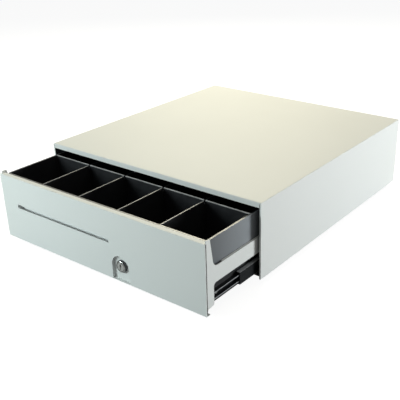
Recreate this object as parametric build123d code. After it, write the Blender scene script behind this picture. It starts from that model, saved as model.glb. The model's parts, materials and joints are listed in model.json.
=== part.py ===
from build123d import *
import math
import os

# A steel cash drawer: a folded case on rubber feet, and a drawer on ball slides that stands
# part-way open at rest.  Sizes are in millimetres.  The case frame has x = 0 in the middle,
# y = 0 at the case's front plane and z = 0 under its sheet; +y runs to the rear.  The drawer
# frame is the same, but its y = 0 is the front face of the fascia.

# ---- overall sizes ----
CASE_W = 406.4
CASE_D = 426.7
CASE_H = 115.0
FOOT_H = 9.5
OPEN_REST = 111.3                # how far the drawer stands open at rest
SHEET = 1.2
THIN = 1.0

# ---- clearances ----
GAP = 0.3                        # least clearance between pieces that move past each other
SLIP = 0.2                       # between pieces of one body that are put together
RUNNING = 0.05                   # radial, a pin in its bore
OVER = 1.0                       # how far a cut runs on past the sheet that it goes through

# ---- case cover and base ----
BEND_R = 1.6                     # outside radius of the cover's folds
LIP_H = 7.5
LIP_RETURN = 8.0
HEM = 9.0                        # depth of the doubled front edge of the side walls
RELIEF = 0.8                     # slit between the lip and the side hems
BOTTOM_RETURN = 18.0
REAR_RETURN = 12.0
WALL_X = CASE_W / 2 - SHEET      # inner face of a side wall
HEM_X = WALL_X - SHEET           # inner face of the doubled front edge
BASE_Z = SHEET                   # underside of the base pan
BASE_TOP = BASE_Z + THIN
BASE_FRONT = 4.5
BASE_FLANGE = 12.0
PANEL_Y = CASE_D - 2 * SHEET     # front face of the rear panel
FOOT_R = 9.0
FOOT_TAPER = 1.2
FOOT_X = CASE_W / 2 - 38.2
FOOT_INSET = 42.0
SCREW_R = 1.75
SCREW_HEAD_R = 3.4
SCREW_HEAD_H = 2.0

# ---- drawer front, set in from the mouth of the case ----
FASCIA_T = 1.2
FASCIA_HALF = HEM_X - 3.9
FASCIA_LOW = -3.3
FASCIA_TOP = CASE_H - LIP_H - 6.8
FASCIA_RETURN = 7.5
STIFF_T = 1.8
STIFF_HALF = FASCIA_HALF - 0.1
PAN_Y = FASCIA_T + STIFF_T       # drawer pieces start behind the two front sheets
SIDE_X = FASCIA_HALF - 0.8       # outer face of the drawer's side plates
SIDE_TOP = FASCIA_TOP + 3.3
TAB_DEPTH = 17.2
STUD_R = 2.0
NUT_AF = 7.0
NUT_T = 3.2

# ---- ball slides ----
SLIDE_W = 10.0
SLIDE_HALF = 13.5                # half the outer rail's height
SLIDE_Z = BASE_TOP + SHEET + 0.4 + SLIDE_HALF
RAIL_FRONT = TAB_DEPTH + 1.0     # the closed drawer's tabs stop short of the rails
RAIL_REAR_ROOM = 8.5
OUTER_LEN = CASE_D - RAIL_FRONT - RAIL_REAR_ROOM
MIDDLE_LEN = OUTER_LEN - 40.0
BRACKET_X = WALL_X - 3.3 - SHEET
BRACKET_TOP = SLIDE_Z + SLIDE_HALF + 2.2
DRAWER_WALL_X = BRACKET_X - SLIDE_W      # outer face of the drawer pan's side wall
BALL_R = 1.4
RACE_GAP = 0.2                   # between a ball and its race
OUTER_RACE = SLIDE_HALF - THIN               # inner face of the outer rail's flanges
OUTER_ROW_V = OUTER_RACE - BALL_R - RACE_GAP  # centres of the outer ball rows
MIDDLE_HALF = OUTER_ROW_V - BALL_R - RACE_GAP
INNER_ROW_V = MIDDLE_HALF - THIN - BALL_R - RACE_GAP
INNER_HALF = INNER_ROW_V - BALL_R - RACE_GAP
FLANGE_TIP = SLIDE_W - 2.0
LIP = 2.6
MIDDLE_WEB = 2.0
RIVET_R = 1.6
RIVET_HEAD_R = 2.9

# ---- drawer ----
REAR_BAY = 94.7                  # room behind the closed drawer for its latch and the board
PAN_D = CASE_D - REAR_BAY
TRAVEL = PAN_D - 2.0             # closed to fully open
PAN_Z = BASE_TOP + 1.0
PAN_LEDGE_Z = SLIDE_Z + SLIDE_HALF + 7.6
PAN_TOP = PAN_LEDGE_Z + SHEET
ARM_TOP = PAN_LEDGE_Z + 23.1
ARM_FLANGE = 2.5
ARM_FLANGE_Y = 37.0
INNER_FRONT = 8.0
INNER_LEN = PAN_D - INNER_FRONT - 6.0

# Each ball cage moves a quarter of the travel less than the rail ahead of it, and starts
# far enough back to stay between its two rails all the way.
CAGE_Y = RAIL_FRONT + TRAVEL / 4 + 1.3
CAGE_LEN = INNER_FRONT + INNER_LEN - TRAVEL / 4 - CAGE_Y - 1.5
CAGE_HALF_W = 1.7
CAGE_T = 0.6
BALL_PITCH = 14.0
BALLS_PER_ROW = int((CAGE_LEN + 1.0) // BALL_PITCH)

# ---- media slot and chute ----
SLOT_LOW_X = 33.2 - FASCIA_HALF
SLOT_LEN = 192.0
SLOT_X = (SLOT_LOW_X, SLOT_LOW_X + SLOT_LEN)
SLOT_Z = 52.0
SLOT_H = 6.0
CHUTE_BACK = 8.2
CHUTE_LOW = 43.0
CHUTE_TOP = SLOT_Z + SLOT_H + 0.5 + SHEET
CHUTE_MARGIN = 0.8

# ---- lock ----
LOCK_X = FASCIA_HALF - 149.1
LOCK_Z = 20.2
LOCK_R = 9.0
POCKET_R = LOCK_R + 7.0
POCKET_DEPTH = 4.6
POCKET_BACK = POCKET_DEPTH + FASCIA_T
POCKET_ROOM = POCKET_R + FASCIA_T + GAP      # half width that the pocket needs behind the fascia
BARREL_R = LOCK_R - 1.1
BARREL_LEN = 24.0
PLUG_R = BARREL_R - 1.7
KEY_W = 1.6
KEY_H = 2 * PLUG_R - 4.0
KEY_DEPTH = 9.0
CAM_T = 2.0
CAM_Y = (BARREL_LEN + GAP, BARREL_LEN + GAP + CAM_T)
CAM_REACH = LOCK_Z - 0.6         # turned down, the cam passes through the pan and the base
CAM_HALF = 4.5
CAM_SQUARE = 5.0
LOCK_NUT_AF = 2 * BARREL_R + 6.2
LOCK_NUT_T = 3.0

# ---- till tray ----
TILL_X = SIDE_X - SHEET - ARM_FLANGE - 0.6
TILL_FRONT = FASCIA_RETURN + 2.5
TILL_REAR = PAN_D - 1.0
TILL_TOP = FASCIA_TOP - FASCIA_T - GAP
TILL_WALL = 2.6
TILL_FLOOR = 2.2
TILL_CORNER = TILL_WALL + 1.4
TILL_INNER = TILL_X - TILL_WALL
TILL_DECK = PAN_TOP + TILL_FLOOR
CROSS_WALL_Y = 103.6
CROSS_WALL_T = 2.4
COLUMNS = 5
DIVIDER_T = 2.0
GROOVE = 0.8
COIN_Y = (TILL_FRONT + TILL_WALL, CROSS_WALL_Y)
BILL_Y = (CROSS_WALL_Y + CROSS_WALL_T, TILL_REAR - TILL_WALL)
COLUMN_PITCH = (2 * TILL_INNER + DIVIDER_T) / COLUMNS
DIVIDER_X = [(i + 1) * COLUMN_PITCH - TILL_INNER - DIVIDER_T / 2 for i in range(COLUMNS - 1)]
COLUMN_X = [(i + 0.5) * COLUMN_PITCH - TILL_INNER - DIVIDER_T / 2 for i in range(COLUMNS)]

# ---- bill arms ----
ROD_R = 2.0
ROD_Y = TILL_REAR - 13.0
ROD_Z = TILL_TOP - 7.2
ARM_HUB_R = ROD_R + 2.5
ARM_LEN = 85.0
ARM_W = 24.0
ARM_T = 2.4
NOTE_STACK = 10.3                # height of the arm's tip over the till's deck at rest
ARM_REST_DEG = math.degrees(math.asin((ROD_Z - TILL_DECK - NOTE_STACK) / ARM_LEN))

# ---- latch, solenoid and switch, in the bay behind the closed drawer ----
STRIKER_Y = PAN_D + 13.0
STRIKER_Z = 16.0
STRIKER_R = 2.5
STRIKER_HALF = 16.0
STRIKER_LOW = 8.0
EAR_T = 1.5
PIVOT_Y = PAN_D + 46.0
PIVOT_Z = 24.0
PIVOT_R = 2.0
PIVOT_HEAD_T = 1.2
HOOK_T = 3.0
HOOK_TOP = 27.5
HOOK_LOW = 12.5
PLATE_X = 5.0                    # inner face of the latch bracket's cheeks
EAR_X = PLATE_X + SHEET + 1.8    # the striker's ears pass outside the cheeks
BRACKET_FOOT_Y = PAN_D + 20.0
CHEEK_Y = PAN_D + 6.0
CHEEK_LOW = 31.0
CHEEK_TOP = 52.0
SPRING_Y = PAN_D + 34.0
SPRING_TOP = 38.0
SPRING_R = 2.6
SPRING_WIRE = 0.4
SOLENOID_Y = PAN_D + 56.0
SOLENOID_Z = 48.0
SOLENOID_L = 26.2
SOLENOID_HALF = 13.2
SOLENOID_HALF_W = 11.0
PLUNGER_R = 4.0
PLUNGER_PIN_R = 1.5
COIL_R = 10.5
COIL_FLANGE = 1.5
COIL_LEAD_X = 13.0
SWITCH_Y = (PAN_D + 8.0, PAN_D + 28.0)
SWITCH_Z = 36.0
SWITCH_H = 10.0
SWITCH_PIN_R = 1.0
SWITCH_PIN_Y = PAN_D + 13.0
SWITCH_PIN_Z = SWITCH_Z + 4.0
LEVER_Y = PAN_D + 26.0
LEVER_Z = SWITCH_Z - 0.9
LEVER_LEN = 16.0
LEVER_T = 0.5
LEVER_HALF = 1.4
LEVER_PIN_R = 0.35
LEVER_REST_DEG = 13.0

# ---- ejector and bumpers ----
EJECTOR_X = -60.0
EJECTOR_Z = 21.0
EJECTOR_R = 3.0
EJECTOR_FRONT = PAN_D - 30.0
EJECTOR_BACK = PAN_D + 43.0
EJECTOR_HALF = 13.0
EJECTOR_TOP = 36.0
EJECTOR_SHEET = 1.5
EJECTOR_NUT_AF = 10.0
EJECTOR_NUT_T = 3.0
BUMPER_X = 110.0
BUMPER_HALF = 9.0
BUMPER_D = 13.5
BUMPER_TOP = 22.0

# ---- circuit board and socket ----
SOCKET_X = WALL_X - 93.0
SOCKET_W = 14.0
SOCKET_H = 12.5
SOCKET_D = 18.5
SOCKET_WALL = 4.0
BOARD_Z = 8.0
BOARD_T = 1.6
BOARD_TOP = BOARD_Z + BOARD_T
BOARD_X = (SOCKET_X - 33.0, SOCKET_X + 19.0)
BOARD_Y = (PAN_D + 54.0, PANEL_Y - THIN - 1.0)
BOARD_SCREW_R = 1.5
HEADER_X = [BOARD_X[0] + 6.0, BOARD_X[0] + 18.0]
HEADER_Y = BOARD_Y[0] + 4.0
WIRE_R = 1.2

# The whole thing is centred on its box at rest, screw heads at the rear included.
FRONT_Y = -(CASE_D + SCREW_HEAD_H - OPEN_REST) / 2
CASE_AT = Pos(0, FRONT_Y, FOOT_H)


def drawer_at(share):
    """Where a piece stands at rest if it moves by that share of the drawer's travel."""
    return Pos(0, FRONT_Y - share * OPEN_REST, FOOT_H)


# ---- where the fasteners go ----
def spread(low, high, count):
    """Evenly spaced places from low to high."""
    return [low + i * (high - low) / (count - 1) for i in range(count)]


BASE_SCREW_X = DRAWER_WALL_X + SLIDE_W / 2
BASE_SCREW_Y = spread(RAIL_FRONT + 41.8, RAIL_FRONT + OUTER_LEN - 58.2, 3)
CASE_RIVET_Y = spread(RAIL_FRONT + 14.8, RAIL_FRONT + OUTER_LEN - 35.2, 3)
DRAWER_RIVET_Y = spread(INNER_FRONT + 22.0, INNER_FRONT + INNER_LEN - 26.0, 3)
REAR_SCREW_X = WALL_X - REAR_RETURN / 2
REAR_SCREW_Z = [30.0, CASE_H - 31.0]
REAR_TOP_X = CASE_W / 2 - 108.2
REAR_TOP_Z = CASE_H - SHEET - REAR_RETURN / 2
REAR_LOW_X = CASE_W / 2 - 53.2
REAR_LOW_Z = 9.0
STUD_X = FASCIA_HALF - 21.9
STUD_INNER_X = 58.0
STUD_HIGH_Z = FASCIA_TOP - 10.7
STUD_LOW_Z = 14.0
STUD_PLACES = [(x, STUD_HIGH_Z) for x in (-STUD_X, -STUD_INNER_X, STUD_INNER_X, STUD_X)]
STUD_PLACES += [(x, STUD_LOW_Z) for x in (-STUD_X, LOCK_X - 117.8, LOCK_X + 52.2, STUD_X)]


def base_screw_places():
    return [(s * BASE_SCREW_X, y) for s in (-1, 1) for y in BASE_SCREW_Y]


def rear_screw_places():
    sides = [(s * REAR_SCREW_X, z) for s in (-1, 1) for z in REAR_SCREW_Z]
    return sides + [(s * REAR_TOP_X, REAR_TOP_Z) for s in (-1, 1)]


def rear_low_places():
    return [(s * REAR_LOW_X, REAR_LOW_Z) for s in (-1, 1)]


def board_screw_places():
    ys = (BOARD_Y[0] + 14, BOARD_Y[1] - 4)
    return [(x, y) for x in (BOARD_X[0] + 4, BOARD_X[1] - 4) for y in ys]


# ---- small helpers ----
def block(x, y, z):
    """A box from its low and high value along each axis."""
    middle = Pos((x[0] + x[1]) / 2, (y[0] + y[1]) / 2, (z[0] + z[1]) / 2)
    return middle * Box(x[1] - x[0], y[1] - y[0], z[1] - z[0])


def mid_block(x, y, z, size):
    """A box from its centre and size."""
    return Pos(x, y, z) * Box(*size)


def rod_x(x, y, z, r):
    """A round bar along x, from x[0] to x[1]."""
    return Pos((x[0] + x[1]) / 2, y, z) * Rot(0, 90, 0) * Cylinder(r, x[1] - x[0])


def rod_y(x, y, z, r):
    """A round bar along y, from y[0] to y[1]."""
    return Pos(x, (y[0] + y[1]) / 2, z) * Rot(90, 0, 0) * Cylinder(r, y[1] - y[0])


def rod_z(x, y, z, r):
    """A round bar along z, from z[0] to z[1]."""
    return Pos(x, y, (z[0] + z[1]) / 2) * Cylinder(r, z[1] - z[0])


def hex_y(x, y, z, across_flats):
    """A hexagonal bar along y."""
    outline = RegularPolygon(across_flats / math.sqrt(3), 6)
    return Pos(x, y[1], z) * Rot(90, 0, 0) * extrude(outline, y[1] - y[0])


def wider(span, by):
    """A low and high value, each moved outwards."""
    return (span[0] - by, span[1] + by)


def side_profile(points, x, radii=None):
    """A plate in the y-z plane, from x[0] to x[1], with the corners rounded by radii."""
    if radii is None:
        line = Polyline(*points, close=True)
    else:
        line = FilletPolyline(*points, radius=radii, close=True)
    face = make_face(Plane.YZ * line)
    return Pos(x[0], 0, 0) * extrude(face, x[1] - x[0], dir=(1, 0, 0))


def other_side(shape):
    return mirror(shape, about=Plane.YZ)


def both_sides(shape):
    return [shape, other_side(shape)]


def group(solids):
    """Separate solids that share one node."""
    return Compound(children=[s for shape in solids for s in shape.solids()])


written = []


def save(name, shape, at):
    placed = at * shape
    export_step(placed, f"parts/{name}.step")
    written.append(name)


# ---- case ----
def case_cover():
    half = CASE_W / 2
    outer = block((-half, half), (0, CASE_D), (0, CASE_H))
    along = outer.edges().filter_by(Axis.Y).sort_by(Axis.Z)[-2:]
    front = outer.edges().filter_by(Axis.X).group_by(Axis.Y)[0].sort_by(Axis.Z)[-1]
    outer = fillet(list(along) + [front], BEND_R)
    inner_top = CASE_H - SHEET
    lip_low = CASE_H - LIP_H
    lip_end = HEM_X - RELIEF
    hollow = block((-WALL_X, WALL_X), (SHEET, CASE_D + OVER), (-OVER, inner_top))
    mouth = block((-WALL_X, WALL_X), (-OVER, SHEET + OVER), (-OVER, lip_low))
    cover = outer - hollow - mouth
    cover += block((-lip_end, lip_end), (0, LIP_RETURN), (lip_low, lip_low + SHEET))
    for side in (1, -1):
        xs = sorted((side * HEM_X, side * WALL_X))
        cover += block(xs, (0, HEM), (0, inner_top))
        xs = sorted((side * lip_end, side * HEM_X))
        cover -= block(xs, (-OVER, HEM), (lip_low - OVER, inner_top - RELIEF))
        xs = sorted((side * (WALL_X - BOTTOM_RETURN), side * WALL_X))
        cover += block(xs, (HEM, PANEL_Y), (0, SHEET))
        xs = sorted((side * (WALL_X - REAR_RETURN), side * WALL_X))
        cover += block(xs, (CASE_D - SHEET, CASE_D), (0, inner_top))
    cover += block((-WALL_X, WALL_X), (CASE_D - SHEET, CASE_D), (inner_top - REAR_RETURN, inner_top))
    for x, y in base_screw_places():
        cover -= rod_z(x, y, wider((0, SHEET), OVER), SCREW_R)
    for x, z in rear_screw_places():
        cover -= rod_y(x, wider((CASE_D - SHEET, CASE_D), OVER), z, SCREW_R)
    return cover


def cam_slot(z):
    """The slot that the lock's cam swings down through."""
    x = (LOCK_X - CAM_HALF - 1.5, LOCK_X + CAM_REACH * 0.68)
    return block(x, wider(CAM_Y, 2.0), z)


def base_pan():
    half = HEM_X - SLIP
    rear = PANEL_Y - THIN
    flange_y = (HEM + OVER, rear - 5.0)
    flange_top = BASE_TOP + BASE_FLANGE
    pan = block((-half, half), (BASE_FRONT, PANEL_Y), (BASE_Z, BASE_TOP))
    for side in (1, -1):
        xs = sorted((side * (WALL_X - THIN), side * WALL_X))
        pan += block(xs, flange_y, (BASE_Z, flange_top))
        xs = sorted((side * (half - THIN), side * WALL_X))
        pan += block(xs, flange_y, (BASE_Z, BASE_TOP))
    pan += block((8 - half, half - 8), (rear, PANEL_Y), (BASE_TOP, flange_top))
    # the closed drawer's lock pocket stands in a notch in the front edge
    notch_x = (LOCK_X - POCKET_ROOM, LOCK_X + POCKET_ROOM)
    pan -= block(notch_x, (0, POCKET_BACK + GAP), wider((BASE_Z, BASE_TOP), OVER))
    pan -= cam_slot(wider((BASE_Z, BASE_TOP), OVER))
    for x, y in base_screw_places():
        pan -= rod_z(x, y, wider((BASE_Z, BASE_TOP), OVER), SCREW_R)
    for x, z in rear_low_places():
        pan -= rod_y(x, wider((rear, PANEL_Y), OVER), z, SCREW_R)
    return pan - socket_rebate()


def socket_block(y, grow):
    xs = (SOCKET_X - SOCKET_W / 2 - grow, SOCKET_X + SOCKET_W / 2 + grow)
    return block(xs, y, (BOARD_TOP - grow, BOARD_TOP + SOCKET_H + grow))


def socket_rebate():
    """Keeps the base pan's rear flange clear of the socket."""
    half = SOCKET_W / 2 + 2.0
    y = (PANEL_Y - THIN - 0.1, PANEL_Y)
    return block((SOCKET_X - half, SOCKET_X + half), y, (0, BASE_TOP + BASE_FLANGE))


def rear_panel():
    half = WALL_X - SLIP
    y = (PANEL_Y, CASE_D - SHEET)
    panel = block((-half, half), y, (SHEET + SLIP, CASE_H - SHEET - SLIP))
    panel -= socket_block(wider(y, OVER), SLIP)
    for x, z in rear_screw_places() + rear_low_places():
        panel -= rod_y(x, wider(y, OVER), z, SCREW_R)
    return panel


def pan_head(r, h):
    """A domed screw head with a cross recess, standing up from z = 0."""
    head = Pos(0, 0, h / 2) * Cylinder(r, h)
    head = fillet(head.edges().sort_by(Axis.Z)[-1], h * 0.6)
    for size in ((r * 1.1, 0.8, h), (0.8, r * 1.1, h)):
        head -= Pos(0, 0, h) * Box(*size)
    return head


def rear_screws():
    solids = []
    places = [(x, z, CASE_D) for x, z in rear_screw_places()]
    places += [(x, z, CASE_D - SHEET) for x, z in rear_low_places()]
    for x, z, seat in places:
        shank = rod_y(x, (PANEL_Y - 4.5, seat), z, SCREW_R)
        head = Pos(x, seat, z) * Rot(-90, 0, 0) * pan_head(SCREW_HEAD_R, SCREW_HEAD_H)
        solids.append(shank + head)
    return group(solids)


def base_screws():
    solids = []
    for x, y in base_screw_places():
        shank = rod_z(x, y, (0, BASE_TOP + SHEET), SCREW_R)
        solids.append(shank + Pos(x, y, 0) * Rot(180, 0, 0) * pan_head(SCREW_HEAD_R, SCREW_HEAD_H))
    return group(solids)


def rubber_feet():
    solids = []
    for x in (-FOOT_X, FOOT_X):
        for y in (FOOT_INSET, CASE_D - FOOT_INSET):
            cone = Cone(FOOT_R, FOOT_R - FOOT_TAPER, FOOT_H)
            foot = Pos(x, y, -FOOT_H / 2) * Rot(180, 0, 0) * cone
            foot = fillet(foot.edges().sort_by(Axis.Z)[0], 0.8)
            # the foot reaches up past the case's underside to the base pan
            solids.append(foot + rod_z(x, y, (0, BASE_Z), FOOT_R * 0.8))
    return group(solids)


def slide_bracket():
    """The right-hand angle that holds the outer rail beside the case wall."""
    rear = RAIL_FRONT + OUTER_LEN
    bracket = block((BRACKET_X, BRACKET_X + SHEET), (RAIL_FRONT, rear), (BASE_TOP, BRACKET_TOP))
    foot_x = (DRAWER_WALL_X + 0.8, BRACKET_X)
    bracket += block(foot_x, (RAIL_FRONT + 4, rear - 4), (BASE_TOP, BASE_TOP + SHEET))
    for y in BASE_SCREW_Y:
        bracket -= rod_z(BASE_SCREW_X, y, wider((BASE_TOP, BASE_TOP + SHEET), OVER), SCREW_R)
    for y in CASE_RIVET_Y:
        bracket -= rod_x(wider((BRACKET_X, BRACKET_X + SHEET), OVER), y, SLIDE_Z, RIVET_R)
    return bracket


# ---- ball slides: u runs inwards from the bracket, v up and down from the centre line ----
def bar(u, v, y):
    x = (BRACKET_X - u[1], BRACKET_X - u[0])
    return block(x, y, (SLIDE_Z + v[0], SLIDE_Z + v[1]))


def rail(web_u, tip_u, half, lip, y):
    """A channel with a web, two flanges that reach to tip_u, and a lip on each, or none."""
    web_side = web_u[0] if tip_u > web_u[0] else web_u[1]
    flange_u = sorted((web_side, tip_u))
    shape = bar(web_u, (-half, half), y)
    for v in ((half - THIN, half), (-half, THIN - half)):
        shape += bar(flange_u, v, y)
    if lip:
        lip_u = (tip_u - THIN, tip_u)
        shape += bar(lip_u, (half - lip, half), y)
        shape += bar(lip_u, (-half, lip - half), y)
    return shape


def slide_outer():
    y = (RAIL_FRONT, RAIL_FRONT + OUTER_LEN)
    shape = rail((0, THIN), FLANGE_TIP, SLIDE_HALF, LIP, y)
    for at in CASE_RIVET_Y:
        shape -= rod_x(wider((BRACKET_X - THIN, BRACKET_X), OVER), at, SLIDE_Z, RIVET_R)
    return shape


def slide_middle():
    y = (RAIL_FRONT, RAIL_FRONT + MIDDLE_LEN)
    return rail((MIDDLE_WEB, MIDDLE_WEB + THIN), FLANGE_TIP, MIDDLE_HALF, LIP, y)


def slide_inner():
    y = (INNER_FRONT, INNER_FRONT + INNER_LEN)
    tip = MIDDLE_WEB + THIN + 0.8
    shape = rail((SLIDE_W - THIN, SLIDE_W), tip, INNER_HALF, 0, y)
    for at in DRAWER_RIVET_Y:
        shape -= rod_x(wider((DRAWER_WALL_X, DRAWER_WALL_X + THIN), OVER), at, SLIDE_Z, RIVET_R)
    return shape


def ball_cage(row_v):
    """Two retainer strips with their balls, for the rows above and below the centre line."""
    solids = []
    x = BRACKET_X - SLIDE_W / 2
    first = CAGE_Y + (CAGE_LEN - BALL_PITCH * (BALLS_PER_ROW - 1)) / 2
    for z in (SLIDE_Z + row_v, SLIDE_Z - row_v):
        strip = mid_block(x, CAGE_Y + CAGE_LEN / 2, z, (2 * CAGE_HALF_W, CAGE_LEN, CAGE_T))
        balls = [Pos(x, first + i * BALL_PITCH, z) * Sphere(BALL_R) for i in range(BALLS_PER_ROW)]
        for ball in balls:
            strip -= ball
        solids += [strip] + balls
    return group(solids)


def rivet(x, y, heads):
    """A flat-headed rivet along x on the slides' centre line; heads gives how far each stands out."""
    shape = rod_x(x, y, SLIDE_Z, RIVET_R)
    shape += rod_x((x[0] - heads[0], x[0]), y, SLIDE_Z, RIVET_HEAD_R)
    return shape + rod_x((x[1], x[1] + heads[1]), y, SLIDE_Z, RIVET_HEAD_R)


def case_rivets():
    x = (BRACKET_X - THIN, BRACKET_X + SHEET)
    return group([s for y in CASE_RIVET_Y for s in both_sides(rivet(x, y, (0.6, 0.8)))])


def drawer_rivets():
    x = (DRAWER_WALL_X - SHEET, DRAWER_WALL_X + THIN)
    return group([s for y in DRAWER_RIVET_Y for s in both_sides(rivet(x, y, (0.8, 0.8)))])


# ---- drawer front ----
def arch(r, y, low):
    """The lock pocket's outline, round above and straight down to the fascia's foot."""
    return rod_y(LOCK_X, y, LOCK_Z, r) + block((LOCK_X - r, LOCK_X + r), y, (low, LOCK_Z))


def front_fascia():
    width = (-FASCIA_HALF, FASCIA_HALF)
    top_half = SIDE_X - FASCIA_T
    foot = FASCIA_LOW + FASCIA_T
    fascia = block(width, (0, FASCIA_T), (FASCIA_LOW, FASCIA_TOP))
    fascia += block((-top_half, top_half), (0, FASCIA_RETURN), (FASCIA_TOP - FASCIA_T, FASCIA_TOP))
    fascia += block(width, (0, FASCIA_RETURN), (FASCIA_LOW, foot))
    folds = fascia.edges().filter_by(Axis.X).group_by(Axis.Y)[0]
    fascia = fillet(folds, FASCIA_T * 0.7)
    fascia += arch(POCKET_R + FASCIA_T, (FASCIA_T, POCKET_BACK), foot)
    fascia -= arch(POCKET_R, (-OVER, POCKET_DEPTH), foot)
    fascia -= rod_y(LOCK_X, (0, POCKET_BACK + OVER), LOCK_Z, BARREL_R)
    fascia -= block(SLOT_X, wider((0, FASCIA_T), OVER), (SLOT_Z, SLOT_Z + SLOT_H))
    for x, z in STUD_PLACES:
        fascia += rod_y(x, (FASCIA_T, PAN_Y + NUT_T + 1.0), z, STUD_R)
    return fascia


def front_stiffener():
    low = FASCIA_LOW + FASCIA_T
    through = wider((FASCIA_T, PAN_Y), OVER)
    plate = block((-STIFF_HALF, STIFF_HALF), (FASCIA_T, PAN_Y), (low, FASCIA_TOP - FASCIA_T))
    plate -= arch(POCKET_ROOM, through, low - OVER)
    chute_x = wider(SLOT_X, CHUTE_MARGIN + SHEET + SLIP)
    plate -= block(chute_x, through, wider((CHUTE_LOW, CHUTE_TOP), SLIP))
    for x, z in STUD_PLACES:
        plate -= rod_y(x, through, z, STUD_R)
    return plate


def media_chute():
    """The folded guide that turns what is posted in the slot down under the till."""
    inner = wider(SLOT_X, CHUTE_MARGIN)
    outer = wider(inner, SHEET)
    back = CHUTE_BACK + SHEET
    shape = block(outer, (FASCIA_T, back), (CHUTE_TOP - SHEET, CHUTE_TOP))
    shape += block(outer, (CHUTE_BACK, back), (CHUTE_LOW, CHUTE_TOP))
    for end in ((outer[0], inner[0]), (inner[1], outer[1])):
        shape += block(end, (FASCIA_T, back), (CHUTE_LOW, CHUTE_TOP))
    return shape


def fascia_nuts():
    solids = []
    y = (PAN_Y, PAN_Y + NUT_T)
    for x, z in STUD_PLACES:
        solids.append(hex_y(x, y, z, NUT_AF) - rod_y(x, wider(y, OVER), z, STUD_R))
    return group(solids)


# ---- drawer body ----
def drawer_side():
    """The right-hand side plate: a tall front tab and a long arm that the till stands between."""
    shoulder = TAB_DEPTH + 0.5
    points = [
        (PAN_Y, 0.5), (5.0, 5.5), (TAB_DEPTH, 7.0), (TAB_DEPTH, PAN_LEDGE_Z),
        (PAN_D, PAN_LEDGE_Z), (PAN_D, ARM_TOP), (shoulder, ARM_TOP),
        (11.2, SIDE_TOP - 0.6), (PAN_Y, SIDE_TOP),
    ]
    radii = [0.4, 1.0, 0.6, 5.0, 1.5, 1.5, 10.0, 2.0, 1.0]
    inner = SIDE_X - SHEET
    front = (PAN_Y, PAN_Y + SHEET)
    plate = side_profile(points, (inner, SIDE_X), radii)
    plate += block((inner - ARM_FLANGE, inner), (ARM_FLANGE_Y, PAN_D - 1.5), (ARM_TOP - SHEET, ARM_TOP))
    plate += block((DRAWER_WALL_X - 4, inner), front, (PAN_TOP + 3, FASCIA_TOP - 3))
    plate += block((DRAWER_WALL_X, inner), front, (8, PAN_LEDGE_Z - 2))
    return plate


def drawer_pan():
    floor = (PAN_Z, PAN_Z + SHEET)
    x = (-DRAWER_WALL_X, DRAWER_WALL_X)
    pan = block(x, (PAN_Y, PAN_D), floor)
    pan += block(x, (PAN_D - SHEET, PAN_D), (PAN_Z, PAN_TOP))
    for side in (1, -1):
        wall = sorted((side * (DRAWER_WALL_X - SHEET), side * DRAWER_WALL_X))
        pan += block(wall, (PAN_Y, PAN_D), (PAN_Z, PAN_TOP))
        ledge = sorted((side * (DRAWER_WALL_X - SHEET), side * (SIDE_X - SHEET)))
        pan += block(ledge, (PAN_Y + SHEET, PAN_D), (PAN_LEDGE_Z, PAN_TOP))
    notch_x = (LOCK_X - POCKET_ROOM, LOCK_X + POCKET_ROOM)
    pan -= block(notch_x, (0, POCKET_BACK + GAP), wider(floor, OVER))
    pan -= cam_slot(wider(floor, OVER))
    pan -= rod_y(EJECTOR_X, wider((PAN_D - SHEET, PAN_D), OVER), EJECTOR_Z, EJECTOR_R + 1.0)
    for y in DRAWER_RIVET_Y:
        hole = rod_x(wider((DRAWER_WALL_X - SHEET, DRAWER_WALL_X), OVER), y, SLIDE_Z, RIVET_R)
        pan -= hole
        pan -= other_side(hole)
    return pan


def striker_bracket():
    base = block((-STRIKER_HALF, STRIKER_HALF), (PAN_D, PAN_D + SHEET), (STRIKER_LOW, PIVOT_Z + 6))
    ear_z = (STRIKER_Z - 7, STRIKER_Z + 7)
    ear = block((EAR_X, EAR_X + EAR_T), (PAN_D, STRIKER_Y + 5), ear_z)
    hole = rod_x((-STRIKER_HALF, STRIKER_HALF), STRIKER_Y, STRIKER_Z, STRIKER_R)
    return base + ear + other_side(ear) - hole


def striker_pin():
    half = EAR_X + EAR_T
    return rod_x((-half, half), STRIKER_Y, STRIKER_Z, STRIKER_R)


# ---- lock ----
def lock_barrel():
    bezel = rod_y(LOCK_X, (0, POCKET_DEPTH), LOCK_Z, LOCK_R)
    bezel = chamfer(bezel.edges().sort_by(Axis.Y)[0], 1.0)
    shape = bezel + rod_y(LOCK_X, (POCKET_DEPTH, BARREL_LEN), LOCK_Z, BARREL_R)
    return shape - rod_y(LOCK_X, wider((0, BARREL_LEN), OVER), LOCK_Z, PLUG_R + RUNNING)


def lock_nut():
    y = (POCKET_BACK, POCKET_BACK + LOCK_NUT_T)
    return hex_y(LOCK_X, y, LOCK_Z, LOCK_NUT_AF) - rod_y(LOCK_X, wider(y, OVER), LOCK_Z, BARREL_R)


def cam_square():
    return block(
        (LOCK_X - CAM_SQUARE / 2, LOCK_X + CAM_SQUARE / 2), CAM_Y,
        (LOCK_Z - CAM_SQUARE / 2, LOCK_Z + CAM_SQUARE / 2),
    )


def lock_plug():
    shape = rod_y(LOCK_X, (SLIP, CAM_Y[0]), LOCK_Z, PLUG_R)
    shape -= mid_block(LOCK_X, 0, LOCK_Z, (KEY_W, 2 * KEY_DEPTH, KEY_H))
    shape -= mid_block(LOCK_X, 0, LOCK_Z + 1.2, (2 * KEY_W, 2 * KEY_DEPTH, 2.0))
    shape += cam_square()
    return shape - rod_y(LOCK_X, (CAM_Y[0] - 6.0, CAM_Y[1] + OVER), LOCK_Z, SCREW_R)


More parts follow.
